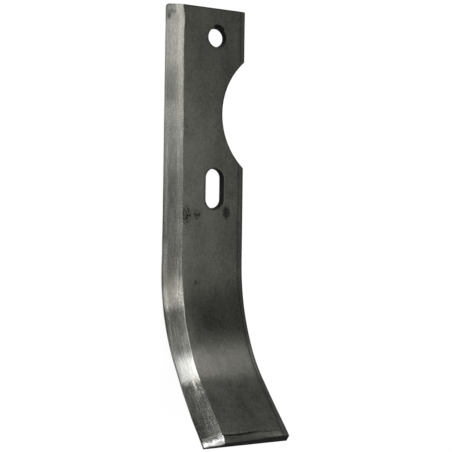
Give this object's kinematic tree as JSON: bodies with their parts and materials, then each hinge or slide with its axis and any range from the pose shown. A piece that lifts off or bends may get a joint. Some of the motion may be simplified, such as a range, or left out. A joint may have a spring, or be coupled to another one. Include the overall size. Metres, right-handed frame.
{
  "type": "tiller blade",
  "caption": "Bolt-on tiller blade: a flat steel bar with a round bolt hole, a slotted hole, a round hub relief, a scooped soil end and one ground cutting edge.",
  "frame": {"origin": "centre of the round bolt hole on the flat back face", "axes": "+Z out of the concave face along the bolt, +Y along the bar to the mounting end, +X to the blunt edge with the hub relief"},
  "size_m": [0.05, 0.2469, 0.0622],
  "materials": {
    "blade_steel": "dark rolled and hardened faces, satin, with a bare ground bevel along the cutting edge"
  },
  "bodies": {
    "root": {"blade": "blade_steel"}
  },
  "joints": []
}
